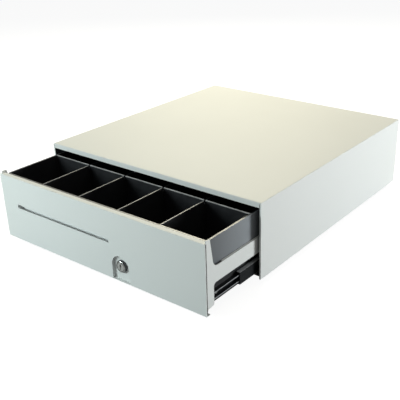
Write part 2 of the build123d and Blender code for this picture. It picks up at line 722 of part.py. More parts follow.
def lock_cam():
    reach = CAM_REACH - CAM_HALF
    shape = rod_y(LOCK_X, CAM_Y, LOCK_Z, PLUG_R - 0.2)
    shape += block((LOCK_X, LOCK_X + reach), CAM_Y, (LOCK_Z - CAM_HALF, LOCK_Z + CAM_HALF))
    shape += rod_y(LOCK_X + reach, CAM_Y, LOCK_Z, CAM_HALF)
    return shape - cam_square()


def cam_screw():
    shank = rod_y(LOCK_X, (CAM_Y[0] - 5.0, CAM_Y[1]), LOCK_Z, SCREW_R)
    return shank + Pos(LOCK_X, CAM_Y[1], LOCK_Z) * Rot(-90, 0, 0) * pan_head(4.2, 2.2)


# ---- till ----
def till_tray():
    above = TILL_TOP + OVER
    tray = block((-TILL_X, TILL_X), (TILL_FRONT, TILL_REAR), (PAN_TOP, TILL_TOP))
    tray = fillet(tray.edges().filter_by(Axis.Z), TILL_CORNER)
    for y in (COIN_Y, BILL_Y):
        well = block((-TILL_INNER, TILL_INNER), y, (TILL_DECK, above))
        tray -= fillet(well.edges().filter_by(Axis.Z), TILL_CORNER - TILL_WALL)
    notch_y = wider((CROSS_WALL_Y, CROSS_WALL_Y + CROSS_WALL_T), OVER)
    for x in DIVIDER_X:
        half = DIVIDER_T / 2 + 0.1
        for y in (COIN_Y, BILL_Y):
            tray -= block((x - half, x + half), wider(y, GROOVE), (TILL_DECK, above))
        tray -= block((x - half - 0.5, x + half + 0.5), notch_y, (TILL_TOP - 4, above))
    rod_half = TILL_INNER + TILL_WALL / 2
    return tray - rod_x((-rod_half, rod_half), ROD_Y, ROD_Z, ROD_R)


def divider(x, y, rod_gap):
    half = DIVIDER_T / 2
    wide = (x - DIVIDER_T, x + DIVIDER_T)
    plate = block((x - half, x + half), wider(y, GROOVE - SLIP), (TILL_DECK, TILL_TOP - SLIP))
    top = plate.edges().filter_by(Axis.Y).group_by(Axis.Z)[-1]
    plate = fillet(top, DIVIDER_T * 0.3)
    notch_y = wider((CROSS_WALL_Y, CROSS_WALL_Y + CROSS_WALL_T), OVER)
    plate -= block(wide, notch_y, (TILL_TOP - 5, TILL_TOP))
    if rod_gap:
        room = ROD_R + GAP
        plate -= block(wide, (ROD_Y - room, ROD_Y + room), (ROD_Z - room, TILL_TOP))
    return plate


def coin_dividers():
    return group([divider(x, COIN_Y, False) for x in DIVIDER_X])


def bill_dividers():
    return group([divider(x, BILL_Y, True) for x in DIVIDER_X])


def bill_arm_rod():
    half = TILL_INNER + TILL_WALL / 2
    return rod_x((-half, half), ROD_Y, ROD_Z, ROD_R)


def bill_arm(x):
    """A hold-down arm, made level and then turned down onto the notes."""
    half = ARM_W / 2
    inside = half - 5.0
    under = ARM_T / 2
    hub = rod_x((-half, half), 0, 0, ARM_HUB_R)
    blade = block((-half, half), (-ARM_LEN, 0), (-under, under))
    corners = blade.edges().filter_by(Axis.Z).group_by(Axis.Y)[0]
    blade = fillet(corners, half * 0.6)
    window = block((-inside, inside), (26 - ARM_LEN, -12), (-ARM_T, ARM_T))
    window = fillet(window.edges().filter_by(Axis.Z), 3.0)
    rib = block((-half, 1.6 - half), (12 - ARM_LEN, 0), (0, under + 1.6))
    pad = block((2 - half, half - 2), (4 - ARM_LEN, 18 - ARM_LEN), (-under - 1.4, 0))
    pad = fillet(pad.edges().filter_by(Axis.X).group_by(Axis.Z)[0], 1.2)
    arm = hub + blade - window + rib + other_side(rib) + pad
    arm -= rod_x((-half - OVER, half + OVER), 0, 0, ROD_R + RUNNING)
    return Pos(x, ROD_Y, ROD_Z) * Rot(ARM_REST_DEG, 0, 0) * arm


# ---- latch and release ----
def latch_bracket():
    across = (-STRIKER_HALF, STRIKER_HALF)
    half = PLATE_X + SHEET + 6.0
    back = (SOLENOID_Y - SHEET, SOLENOID_Y)
    shape = block((-half, half), (BRACKET_FOOT_Y, SOLENOID_Y), (BASE_TOP, BASE_TOP + SHEET))
    shape += block((-half - 1, half + 1), back, (BASE_TOP, SOLENOID_Z + SOLENOID_HALF + 1))
    points = [
        (BRACKET_FOOT_Y, BASE_TOP), (SOLENOID_Y, BASE_TOP), (SOLENOID_Y, CHEEK_TOP),
        (CHEEK_Y, CHEEK_TOP), (CHEEK_Y, CHEEK_LOW), (BRACKET_FOOT_Y, CHEEK_LOW),
    ]
    cheek = side_profile(points, (PLATE_X, PLATE_X + SHEET), [0.5, 0.5, 0.5, 3, 3, 3])
    shape += cheek
    shape += other_side(cheek)
    shape += block((-PLATE_X, PLATE_X), (SPRING_Y - 4, SPRING_Y + 4), (SPRING_TOP, SPRING_TOP + SHEET))
    shape -= rod_x(across, PIVOT_Y, PIVOT_Z, PIVOT_R)
    shape -= rod_y(0, wider(back, OVER), SOLENOID_Z, PLUNGER_R + 1.5)
    return shape - rod_x(across, SWITCH_PIN_Y, SWITCH_PIN_Z, SWITCH_PIN_R)


def latch_hook():
    nose = STRIKER_Y - STRIKER_R - GAP - 0.1
    under = STRIKER_Z + STRIKER_R + GAP + SLIP
    slant = HOOK_TOP - 1.5
    points = [
        (nose, HOOK_LOW), (nose, under), (PIVOT_Y + 4, under), (PIVOT_Y + 4, HOOK_TOP + 4),
        (PIVOT_Y + 3, SOLENOID_Z + 4), (PIVOT_Y - 5, SOLENOID_Z + 4), (PIVOT_Y - 5, HOOK_TOP),
        (SPRING_Y - 3, HOOK_TOP), (nose - 5, slant), (nose - 6.6, 20.5), (nose - 2.6, HOOK_LOW),
    ]
    half = HOOK_T / 2
    across = (-half - OVER, half + OVER)
    hook = side_profile(points, (-half, half))
    hook += block((-half - 1.5, half + 1.5), (SPRING_Y - 3, SPRING_Y + 3), (HOOK_TOP - THIN, HOOK_TOP))
    hook -= rod_x(across, PIVOT_Y, PIVOT_Z, PIVOT_R + RUNNING)
    # the plunger's pin slides in an upright slot as the hook turns
    slot_r = PLUNGER_PIN_R + GAP
    slot_z = (SOLENOID_Z - 0.9, SOLENOID_Z + 0.5)
    for z in slot_z:
        hook -= rod_x(across, PIVOT_Y, z, slot_r)
    return hook - block(across, (PIVOT_Y - slot_r, PIVOT_Y + slot_r), slot_z)


def latch_pivot_pin():
    end = PLATE_X + SHEET
    head = rod_x((end, end + PIVOT_HEAD_T), PIVOT_Y, PIVOT_Z, PIVOT_R + 1.5)
    return rod_x((-end, end), PIVOT_Y, PIVOT_Z, PIVOT_R) + head + other_side(head)


def latch_bushes():
    x = (HOOK_T / 2 + SLIP, PLATE_X)
    bush = rod_x(x, PIVOT_Y, PIVOT_Z, PIVOT_R + 1.6)
    return group(both_sides(bush - rod_x(wider(x, OVER), PIVOT_Y, PIVOT_Z, PIVOT_R)))


def coil_spring(outer_r, wire_r, length, turns):
    """A compression spring along z, from z = 0, with its wire ends cut square."""
    r = outer_r - wire_r
    lift = length - 2 * wire_r
    path = Pos(0, 0, wire_r) * Helix(pitch=lift / turns, height=lift, radius=r)
    start = Plane(origin=path @ 0, z_dir=path % 0)
    return sweep(start * Circle(wire_r), path=path, is_frenet=True)


def latch_spring():
    spring = coil_spring(SPRING_R, SPRING_WIRE, SPRING_TOP - HOOK_TOP, 6)
    return Pos(0, SPRING_Y, HOOK_TOP) * spring


def solenoid_frame():
    x = (-SOLENOID_HALF_W, SOLENOID_HALF_W)
    y = (SOLENOID_Y, SOLENOID_Y + SOLENOID_L)
    z = (SOLENOID_Z - SOLENOID_HALF, SOLENOID_Z + SOLENOID_HALF)
    frame = block(x, y, z) - block(wider(x, OVER), wider(y, -SHEET), wider(z, -SHEET))
    return frame - rod_y(0, wider((y[0], y[0] + SHEET), OVER), SOLENOID_Z, PLUNGER_R + GAP)


def solenoid_coil():
    y = wider((SOLENOID_Y, SOLENOID_Y + SOLENOID_L), -SHEET)
    winding = wider(y, -COIL_FLANGE)
    middle = (y[0] + y[1]) / 2
    coil = rod_y(0, winding, SOLENOID_Z, COIL_R - 1.0)
    for flange in ((y[0], winding[0]), (winding[1], y[1])):
        coil += rod_y(0, flange, SOLENOID_Z, COIL_R)
    lead_x = (COIL_R - 2.5, COIL_LEAD_X)
    coil += block(lead_x, (middle - 3, middle + 3), (SOLENOID_Z - 3, SOLENOID_Z + 3))
    return coil - rod_y(0, (y[0] - OVER, y[1] - 4), SOLENOID_Z, PLUNGER_R + GAP)


def solenoid_plunger():
    shoulder = SOLENOID_Y - 5.5
    shape = rod_y(0, (shoulder, SOLENOID_Y + SHEET + 14), SOLENOID_Z, PLUNGER_R)
    ear_x = (HOOK_T / 2 + GAP + 0.1, PLUNGER_R)
    ear = block(ear_x, (PIVOT_Y - 3.5, shoulder), (SOLENOID_Z - 3, SOLENOID_Z + 3))
    pin = rod_x((-PLUNGER_R, PLUNGER_R), PIVOT_Y, SOLENOID_Z, PLUNGER_PIN_R)
    return shape + ear + other_side(ear) + pin


def drawer_switch():
    outer = LEVER_HALF + GAP + 0.7
    inner = LEVER_HALF + GAP
    body = block((-PLATE_X + 1.8, PLATE_X - 1.8), SWITCH_Y, (SWITCH_Z, SWITCH_Z + SWITCH_H))
    body -= rod_x((-PLATE_X, PLATE_X), SWITCH_PIN_Y, SWITCH_PIN_Z, SWITCH_PIN_R)
    hanger = block((-outer, outer), (LEVER_Y - 1, LEVER_Y + 1), (LEVER_Z - 0.9, SWITCH_Z))
    hanger -= block((-inner, inner), (LEVER_Y - 2, LEVER_Y + 2), (LEVER_Z - 2, SWITCH_Z))
    return body + hanger - rod_x((-PLATE_X, PLATE_X), LEVER_Y, LEVER_Z, LEVER_PIN_R)


def switch_pins():
    end = PLATE_X + SHEET
    lever_end = LEVER_HALF + GAP + 0.7
    pin = rod_x((-end, end), SWITCH_PIN_Y, SWITCH_PIN_Z, SWITCH_PIN_R)
    return group([pin, rod_x((-lever_end, lever_end), LEVER_Y, LEVER_Z, LEVER_PIN_R)])


def switch_lever():
    """The long thin lever under the switch, sloping down to the front."""
    x = (-LEVER_HALF, LEVER_HALF)
    blade = block(x, (-LEVER_LEN, 0), (-LEVER_T / 2, LEVER_T / 2))
    blade += rod_x(x, 0, 0, LEVER_PIN_R + 0.4)
    blade -= rod_x(wider(x, OVER), 0, 0, LEVER_PIN_R + RUNNING)
    return Pos(0, LEVER_Y, LEVER_Z) * Rot(LEVER_REST_DEG, 0, 0) * blade


def ejector_bracket():
    x = (EJECTOR_X - EJECTOR_HALF, EJECTOR_X + EJECTOR_HALF)
    back = (EJECTOR_BACK, EJECTOR_BACK + EJECTOR_SHEET)
    shape = block(x, back, (BASE_TOP, EJECTOR_TOP))
    shape += block(x, (EJECTOR_BACK, EJECTOR_BACK + 18), (BASE_TOP, BASE_TOP + EJECTOR_SHEET))
    return shape - rod_y(EJECTOR_X, wider(back, OVER), EJECTOR_Z, EJECTOR_R)


def ejector_rod():
    nut_y = (EJECTOR_BACK + EJECTOR_SHEET, EJECTOR_BACK + EJECTOR_SHEET + EJECTOR_NUT_T)
    rod = rod_y(EJECTOR_X, (EJECTOR_FRONT + 6, nut_y[1] + 0.5), EJECTOR_Z, EJECTOR_R)
    rod = fillet(rod.edges().sort_by(Axis.Y)[0], EJECTOR_R * 0.8)
    return rod + hex_y(EJECTOR_X, nut_y, EJECTOR_Z, EJECTOR_NUT_AF)


def ejector_spring():
    spring = coil_spring(2 * EJECTOR_R, 0.7, EJECTOR_BACK - EJECTOR_FRONT, 14)
    return Pos(EJECTOR_X, EJECTOR_FRONT, EJECTOR_Z) * Rot(-90, 0, 0) * spring


def drawer_bumpers():
    y = (PAN_D + GAP + SLIP, PAN_D + GAP + SLIP + BUMPER_D)
    points = [(y[0], BASE_TOP), (y[1], BASE_TOP), (y[1] - 4, BUMPER_TOP), (y[0], BUMPER_TOP)]
    pad = side_profile(points, (BUMPER_X - BUMPER_HALF, BUMPER_X + BUMPER_HALF), [0.3, 1, 2, 2])
    return group(both_sides(pad))


# ---- electronics ----
def circuit_board():
    board = block(BOARD_X, BOARD_Y, (BOARD_Z, BOARD_TOP))
    for x, y in board_screw_places():
        board -= rod_z(x, y, wider((BOARD_Z, BOARD_TOP), OVER), BOARD_SCREW_R)
    return board


def board_standoffs():
    solids = []
    for x, y in board_screw_places():
        post = rod_z(x, y, (BASE_TOP, BOARD_Z), BOARD_SCREW_R + 1.1)
        screw = rod_z(x, y, (BOARD_Z, BOARD_TOP), BOARD_SCREW_R)
        solids.append(post + screw + rod_z(x, y, (BOARD_TOP, BOARD_TOP + 1.6), BOARD_SCREW_R + 1.2))
    return group(solids)


def on_board(x, y, height):
    """A housing on the board; x is measured from the socket and y from the board's front."""
    xs = (SOCKET_X + x[0], SOCKET_X + x[1])
    return block(xs, (BOARD_Y[0] + y[0], BOARD_Y[0] + y[1]), (BOARD_TOP, BOARD_TOP + height))


def board_components():
    tall = (BOARD_TOP, BOARD_TOP + 8)
    headers = [block((x - 4, x + 4), (HEADER_Y, HEADER_Y + 6), tall) for x in HEADER_X]
    capacitor = rod_z(SOCKET_X + 5, BOARD_Y[0] + 8, (BOARD_TOP, BOARD_TOP + 11), 4)
    driver = on_board((-9, -2), (5, 11), 3.0)
    controller = on_board((-23, -11), (16, 24), 2.2)
    return group(headers + [capacitor, driver, controller])


def interface_socket():
    front = CASE_D - SHEET - SOCKET_D
    mouth_y = (front + SOCKET_WALL, CASE_D)
    low = BOARD_TOP + 3.0
    body = socket_block((front, CASE_D - SHEET), 0)
    body -= block((SOCKET_X - 4.9, SOCKET_X + 4.9), mouth_y, (low, low + 6.8))
    return body - block((SOCKET_X - 1.7, SOCKET_X + 1.7), mouth_y, (low - 1.9, low + 1.0))


def corner_radii(points):
    """For each corner, as large an arc as its two runs allow."""
    radii = []
    for a, b, c in zip(points, points[1:], points[2:]):
        run_in = Vector(*b) - Vector(*a)
        run_out = Vector(*c) - Vector(*b)
        turn = math.radians(run_in.get_angle(run_out))
        radii.append(0.45 * min(run_in.length, run_out.length) / math.tan(turn / 2))
    return radii


def wire(points):
    radii = corner_radii(points)
    print("wire arcs", [round(r, 1) for r in radii])
    path = FilletPolyline(*points, radius=radii)
    start = Plane(origin=path @ 0, z_dir=path % 0)
    return sweep(start * Circle(WIRE_R), path=path)


def routed(start, end, between):
    """A wire's points; each one between has x as a share of the way and y from the header."""
    span = end[0] - start[0]
    points = [(start[0] + share * span, end[1] + y, z) for share, y, z in between]
    return [start] + points + [end]


def wire_harness():
    plug_z = BOARD_TOP + 4.0
    coil_at = (COIL_LEAD_X, SOLENOID_Y + SOLENOID_L / 2, SOLENOID_Z)
    to_coil = [
        (0.136, 11.1, SOLENOID_Z), (0.284, 7, 40), (0.407, -1, 28), (0.58, -9, 18),
        (0.778, -14, plug_z), (0.95, -13, plug_z), (1.0, -7, plug_z),
    ]
    switch_at = (0, SWITCH_Y[0] + 12, SWITCH_Z + SWITCH_H)
    to_switch = [
        (0, -38, 57), (0.11, -36, 66), (0.28, -32, 62), (0.427, -27, 48),
        (0.561, -22, 32), (0.732, -19, 18), (0.902, -17, plug_z), (1.0, -9, plug_z),
    ]
    coil_wire = routed(coil_at, (HEADER_X[1], HEADER_Y, plug_z), to_coil)
    switch_wire = routed(switch_at, (HEADER_X[0], HEADER_Y, plug_z), to_switch)
    return group([wire(coil_wire), wire(switch_wire)])


# ---- write every piece ----
os.makedirs("parts", exist_ok=True)

save("case_cover", case_cover(), CASE_AT)
save("base_pan", base_pan(), CASE_AT)
save("rear_panel", rear_panel(), CASE_AT)
save("interface_socket", interface_socket(), CASE_AT)
save("case_screws", group([rear_screws(), base_screws()]), CASE_AT)
save("rubber_feet", rubber_feet(), CASE_AT)
save("slide_bracket_right", slide_bracket(), CASE_AT)
save("slide_bracket_left", other_side(slide_bracket()), CASE_AT)
save("slide_outer_right", slide_outer(), CASE_AT)
save("slide_outer_left", other_side(slide_outer()), CASE_AT)
save("slide_case_rivets", case_rivets(), CASE_AT)
save("latch_bracket", latch_bracket(), CASE_AT)
save("latch_hook", latch_hook(), CASE_AT)
save("latch_pivot_pin", latch_pivot_pin(), CASE_AT)
save("latch_bushes", latch_bushes(), CASE_AT)
save("latch_spring", latch_spring(), CASE_AT)
save("solenoid_frame", solenoid_frame(), CASE_AT)
save("solenoid_coil", solenoid_coil(), CASE_AT)
save("solenoid_plunger", solenoid_plunger(), CASE_AT)
save("drawer_switch", drawer_switch(), CASE_AT)
save("switch_pins", switch_pins(), CASE_AT)
save("switch_lever", switch_lever(), CASE_AT)
save("ejector_bracket", ejector_bracket(), CASE_AT)
save("ejector_rod", ejector_rod(), CASE_AT)
save("ejector_spring", ejector_spring(), CASE_AT)
save("drawer_bumpers", drawer_bumpers(), CASE_AT)
save("circuit_board", circuit_board(), CASE_AT)
save("board_standoffs", board_standoffs(), CASE_AT)
save("board_components", board_components(), CASE_AT)
save("wire_harness", wire_harness(), CASE_AT)

save("slide_middle_right", slide_middle(), drawer_at(0.5))
save("slide_middle_left", other_side(slide_middle()), drawer_at(0.5))
save("ball_cages_outer", group(both_sides(ball_cage(OUTER_ROW_V))), drawer_at(0.25))
save("ball_cages_inner", group(both_sides(ball_cage(INNER_ROW_V))), drawer_at(0.75))

DRAWER_AT = drawer_at(1.0)
save("slide_inner_right", slide_inner(), DRAWER_AT)
save("slide_inner_left", other_side(slide_inner()), DRAWER_AT)
save("slide_drawer_rivets", drawer_rivets(), DRAWER_AT)
save("front_fascia", front_fascia(), DRAWER_AT)
save("front_stiffener", front_stiffener(), DRAWER_AT)
save("fascia_nuts", fascia_nuts(), DRAWER_AT)
save("media_chute", media_chute(), DRAWER_AT)
save("drawer_side_right", drawer_side(), DRAWER_AT)
save("drawer_side_left", other_side(drawer_side()), DRAWER_AT)
save("drawer_pan", drawer_pan(), DRAWER_AT)
save("striker_bracket", striker_bracket(), DRAWER_AT)
save("striker_pin", striker_pin(), DRAWER_AT)
save("lock_barrel", lock_barrel(), DRAWER_AT)
save("lock_nut", lock_nut(), DRAWER_AT)
save("lock_plug", lock_plug(), DRAWER_AT)
save("lock_cam", lock_cam(), DRAWER_AT)
save("cam_screw", cam_screw(), DRAWER_AT)
save("till_tray", till_tray(), DRAWER_AT)
save("coin_dividers", coin_dividers(), DRAWER_AT)
save("bill_dividers", bill_dividers(), DRAWER_AT)
save("bill_arm_rod", bill_arm_rod(), DRAWER_AT)
for number, column_x in enumerate(COLUMN_X, 1):
    save(f"bill_arm_{number}", bill_arm(column_x), DRAWER_AT)

print("nodes", len(written), "drawer travel", round(TRAVEL, 1))
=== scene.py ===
import json
import math

import bmesh
import bpy
from mathutils import Matrix, Vector


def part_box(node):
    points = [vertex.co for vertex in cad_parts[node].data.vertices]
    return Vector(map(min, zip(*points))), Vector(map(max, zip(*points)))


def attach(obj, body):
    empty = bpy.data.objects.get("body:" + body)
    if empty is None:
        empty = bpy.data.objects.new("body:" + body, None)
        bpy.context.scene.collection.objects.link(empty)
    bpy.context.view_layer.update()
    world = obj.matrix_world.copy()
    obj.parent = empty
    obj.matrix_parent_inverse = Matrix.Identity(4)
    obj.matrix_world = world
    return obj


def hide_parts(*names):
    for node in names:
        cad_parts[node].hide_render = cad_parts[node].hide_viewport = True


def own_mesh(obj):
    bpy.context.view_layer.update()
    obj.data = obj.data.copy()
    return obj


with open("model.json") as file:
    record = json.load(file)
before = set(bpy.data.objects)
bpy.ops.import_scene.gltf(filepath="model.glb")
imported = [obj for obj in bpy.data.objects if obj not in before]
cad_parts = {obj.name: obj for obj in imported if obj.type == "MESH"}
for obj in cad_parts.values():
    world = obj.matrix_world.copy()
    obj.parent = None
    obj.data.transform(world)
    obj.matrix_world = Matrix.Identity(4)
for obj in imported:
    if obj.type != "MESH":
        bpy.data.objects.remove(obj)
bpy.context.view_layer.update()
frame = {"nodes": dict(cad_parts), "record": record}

# The looks of a steel cash drawer.  Everything is in metres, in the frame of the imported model:
# x to the drawer's right seen from the front, y to the rear, z up, with the floor at z = 0.

MM = 0.001


# ---- places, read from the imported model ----
def middle_of(node):
    low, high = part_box(node)
    return (low + high) / 2


CASE_LOW, CASE_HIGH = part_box("case_cover")
TILL_LOW, TILL_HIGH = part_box("till_tray")
CROSS_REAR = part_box("coin_dividers")[1].y + 2.5 * MM
LOCK = middle_of("lock_plug")
SHEET = 1.2 * MM


# ---- a short way to write a material ----
class Finish:
    """A procedural material on Object coordinates, with a Principled shader at its end."""

    def __init__(self, name, color, roughness, metallic=0.0, specular=0.5):
        self.material = bpy.data.materials.new(name)
        self.material.use_nodes = True
        self.material.diffuse_color = (*color, 1.0)
        self.tree = self.material.node_tree
        self.shader = self.tree.nodes["Principled BSDF"]
        self.set("Base Color", (*color, 1.0))
        self.set("Roughness", roughness)
        self.set("Metallic", metallic)
        self.set("Specular IOR Level", specular)
        self.place = self.node("ShaderNodeTexCoord").outputs["Object"]

    def set(self, socket, value):
        self.shader.inputs[socket].default_value = value

    def drive(self, socket, source):
        self.tree.links.new(source, self.shader.inputs[socket])

    def node(self, kind, **settings):
        made = self.tree.nodes.new(kind)
        for key, value in settings.items():
            setattr(made, key, value)
        return made

    def feed(self, node, socket, value):
        """Links an output to a socket, or sets the socket to a plain value."""
        if isinstance(value, bpy.types.NodeSocket):
            self.tree.links.new(value, node.inputs[socket])
        else:
            node.inputs[socket].default_value = value

    def stretched(self, scale):
        mapping = self.node("ShaderNodeMapping")
        self.feed(mapping, "Vector", self.place)
        mapping.inputs["Scale"].default_value = scale
        return mapping.outputs["Vector"]

    def noise(self, scale, detail=2.0, place=None, distortion=0.0):
        noise = self.node("ShaderNodeTexNoise")
        self.feed(noise, "Vector", place or self.place)
        noise.inputs["Scale"].default_value = scale
        noise.inputs["Detail"].default_value = detail
        noise.inputs["Distortion"].default_value = distortion
        return noise.outputs["Fac"]

    def cells(self, scale, place=None):
        cells = self.node("ShaderNodeTexVoronoi")
        self.feed(cells, "Vector", place or self.place)
        cells.inputs["Scale"].default_value = scale
        return cells.outputs["Distance"]

    def math(self, operation, first, second=0.0):
        node = self.node("ShaderNodeMath", operation=operation)
        self.feed(node, 0, first)
        self.feed(node, 1, second)
        return node.outputs[0]

    def span(self, value, low, high, to_low=0.0, to_high=1.0):
        """Maps low..high onto to_low..to_high, and holds it there outside."""
        node = self.node("ShaderNodeMapRange")
        for socket, number in (("From Min", low), ("From Max", high),
                               ("To Min", to_low), ("To Max", to_high)):
            node.inputs[socket].default_value = number
        self.feed(node, "Value", value)
        return node.outputs["Result"]

    def blend(self, share, first, second):
        """Mixes two colours, each a triple or an output."""
        node = self.node("ShaderNodeMix", data_type="RGBA")
        self.feed(node, 0, share)
        for socket, color in ((6, first), (7, second)):
            self.feed(node, socket, (*color, 1.0) if isinstance(color, tuple) else color)
        return node.outputs[2]

    def axis(self, index):
        node = self.node("ShaderNodeSeparateXYZ")
        self.feed(node, "Vector", self.place)
        return node.outputs[index]

    def away(self, index, centre=0.0):
        """Distance from a plane across one axis."""
        return self.math("ABSOLUTE", self.math("SUBTRACT", self.axis(index), centre))

    def bump(self, height, distance, strength, under=None):
        """Relief from a height of 0 to 1, distance metres deep, over an earlier relief if any."""
        node = self.node("ShaderNodeBump")
        node.inputs["Strength"].default_value = strength
        node.inputs["Distance"].default_value = distance
        self.feed(node, "Height", height)
        if under is not None:
            self.feed(node, "Normal", under)
        self.drive("Normal", node.outputs["Normal"])
        return node.outputs["Normal"]


# ---- materials ----
COAT_WHITE = (0.80, 0.81, 0.80)
COAT_DUSTY = (0.755, 0.765, 0.75)
COAT_SPECK = (0.72, 0.73, 0.72)


def coated(name):
    """Fine-textured powder coat: orange peel, fine grain and a faint unevenness of tone.

    Gives the finish and its colour output.
    """
    finish = Finish(name, COAT_WHITE, 0.5, specular=0.2)
    grain = finish.noise(2600.0, 3.0)
    peel = finish.noise(620.0, 2.0)
    tone = finish.span(finish.noise(7.0, 4.0), 0.35, 0.7)
    speck = finish.span(finish.noise(1500.0, 2.0), 0.25, 0.75)
    tinted = finish.blend(finish.math("MULTIPLY", tone, 0.35), COAT_WHITE, COAT_DUSTY)
    mottled = finish.blend(finish.math("MULTIPLY", speck, 0.12), tinted, COAT_SPECK)
    finish.drive("Base Color", mottled)
    finish.drive("Roughness", finish.span(grain, 0.3, 0.7, 0.42, 0.58))
    under = finish.bump(peel, 0.00006, 0.55)
    finish.bump(grain, 0.00002, 0.6, under)
    return finish, mottled


def powder_coat():
    return coated("powder_coat")[0].material


def case_coat():
    """Powder coat outside; inside the case, behind the hems, near-black painted shade standing in
    for the dark interior.
    """
    finish, outside = coated("case_powder_coat")
    inset = 0.5 * SHEET
    behind = finish.math("GREATER_THAN", finish.axis(1), CASE_LOW.y + 0.5 * MM)
    ahead = finish.math("LESS_THAN", finish.axis(1), CASE_HIGH.y - inset)
    below = finish.math("LESS_THAN", finish.axis(2), CASE_HIGH.z - inset)
    above = finish.math("GREATER_THAN", finish.axis(2), CASE_LOW.z + inset)
    between = finish.math("LESS_THAN", finish.away(0), CASE_HIGH.x - inset)
    inside = behind
    for side in (ahead, below, above, between):
        inside = finish.math("MULTIPLY", inside, side)
    # The near-black inside is painted shade: the case's inner faces are darkened to stand in for
    # the shadow inside the mouth.
    painted_inner_shade = finish.blend(finish.noise(60.0, 3.0), (0.022, 0.023, 0.025), (0.035, 0.036, 0.038))
    finish.drive("Base Color", finish.blend(inside, outside, painted_inner_shade))
    return finish.material


def black_enamel():
    finish = Finish("black_enamel", (0.018, 0.018, 0.02), 0.4)
    dust = finish.span(finish.noise(18.0, 5.0), 0.45, 0.8)
    finish.drive("Base Color", finish.blend(dust, (0.014, 0.014, 0.016), (0.024, 0.024, 0.025)))
    finish.drive("Roughness", finish.span(finish.noise(40.0, 4.0), 0.3, 0.7, 0.34, 0.52))
    finish.bump(finish.noise(900.0, 2.0), 0.00004, 0.5)
    return finish.material


def slide_steel():
    """Black zinc over rolled steel, drawn along the rails, with painted highlights in light grey
    along its outer edges.
    """
    finish = Finish("black_zinc_rails", (0.01, 0.0105, 0.012), 0.45, specular=0.2)
    drawn = finish.noise(30.0, 5.0, finish.stretched((60.0, 1.0, 60.0)))
    plated = finish.blend(drawn, (0.005, 0.0055, 0.007), (0.012, 0.013, 0.016))
    # Light grey bands on the inner rail's outer face and on the middle rail's folds are painted
    # highlights, standing in for the bright lines that light draws along the rail edges.
    inner_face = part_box("slide_inner_right")[1].x
    side = finish.away(0)
    painted_face_highlight = finish.math("MULTIPLY", finish.math("LESS_THAN", side, inner_face + 0.05 * MM),
                       finish.math("GREATER_THAN", side, inner_face - 0.2 * MM))
    middle_low, middle_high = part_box("slide_middle_right")
    centre = (middle_low.z + middle_high.z) / 2
    fold = middle_high.z - centre
    rise = finish.away(2, centre)
    painted_fold_highlight = finish.math("MULTIPLY", finish.math("LESS_THAN", rise, fold + 0.05 * MM),
                         finish.math("GREATER_THAN", rise, fold - 0.25 * MM))
    bright = finish.math("MAXIMUM", painted_face_highlight, painted_fold_highlight)
    finish.drive("Base Color", finish.blend(bright, plated, (0.42, 0.43, 0.45)))
    finish.drive("Roughness", finish.span(drawn, 0.2, 0.8, 0.28, 0.45))
    finish.bump(drawn, 0.00003, 0.4)
    return finish.material


def zinc_plate():
    finish = Finish("zinc_plate", (0.55, 0.56, 0.56), 0.35, metallic=1.0)
    spangle = finish.cells(350.0)
    cloud = finish.noise(120.0, 4.0)
    base = finish.blend(cloud, (0.50, 0.51, 0.53), (0.64, 0.63, 0.58))
    spangled = finish.blend(finish.math("MULTIPLY", spangle, 0.5), base, (0.42, 0.43, 0.45))
    finish.drive("Base Color", spangled)
    finish.drive("Roughness", finish.span(cloud, 0.3, 0.7, 0.28, 0.48))
    finish.bump(finish.noise(1500.0, 2.0), 0.00002, 0.4)
    return finish.material


def nickel():
    """Polished nickel with turning marks around the lock's axis and a few key scratches.

    It is dark in the gap round the plug and on the ring's flank, which see little light.
    """
    finish = Finish("polished_nickel", (0.82, 0.81, 0.79), 0.12, metallic=1.0)
    mapping = finish.node("ShaderNodeMapping")
    finish.feed(mapping, "Vector", finish.place)
    mapping.inputs["Location"].default_value = (-LOCK.x, 0.0, -LOCK.z)
    centred = finish.node("ShaderNodeSeparateXYZ")
    finish.feed(centred, "Vector", mapping.outputs["Vector"])
    across = finish.math("POWER", centred.outputs[0], 2.0)
    upward = finish.math("POWER", centred.outputs[2], 2.0)
    radius = finish.math("SQRT", finish.math("ADD", across, upward))
    gap = finish.math("MULTIPLY", finish.span(radius, 6.1 * MM, 6.3 * MM),
                      finish.span(radius, 6.9 * MM, 6.6 * MM))
    flank = finish.span(radius, 8.2 * MM, 8.6 * MM)
    shade = finish.math("MAXIMUM", gap, flank)
    phase_per_metre = 42000.0
    turned = finish.math("SINE", finish.math("MULTIPLY", radius, phase_per_metre))
    scratch = finish.span(finish.noise(260.0, 6.0, distortion=2.0), 0.52, 0.6)
    finish.drive("Roughness", finish.span(scratch, 0.0, 1.0, 0.1, 0.26))
    marked = finish.blend(scratch, (0.84, 0.83, 0.81), (0.70, 0.69, 0.67))
    finish.drive("Base Color", finish.blend(shade, marked, (0.09, 0.09, 0.095)))
    under = finish.bump(turned, 0.000004, 0.25)
    finish.bump(scratch, 0.00001, 0.3, under)
    return finish.material


def satin_nickel():
    """The plug's face: brushed across, and paler than the ring."""
    finish = Finish("satin_nickel", (0.92, 0.91, 0.89), 0.36, metallic=1.0)
    brushed = finish.noise(90.0, 5.0, finish.stretched((1.0, 1.0, 40.0)))
    finish.drive("Roughness", finish.span(brushed, 0.3, 0.7, 0.32, 0.42))
    finish.drive("Base Color", finish.blend(brushed, (0.95, 0.94, 0.92), (0.86, 0.85, 0.83)))
    finish.bump(brushed, 0.00001, 0.3)
    return finish.material


def chute_lightened_coat():
    """Smoother and paler white than the powder coat: painted light, lifting the inside of the media
    slot, which lies in shade.
    """
    finish = Finish("chute_painted_light_white", (0.93, 0.94, 0.94), 0.3)
    finish.drive("Roughness", finish.span(finish.noise(300.0, 3.0), 0.3, 0.7, 0.25, 0.38))
    finish.bump(finish.noise(700.0, 2.0), 0.00004, 0.3)
    return finish.material


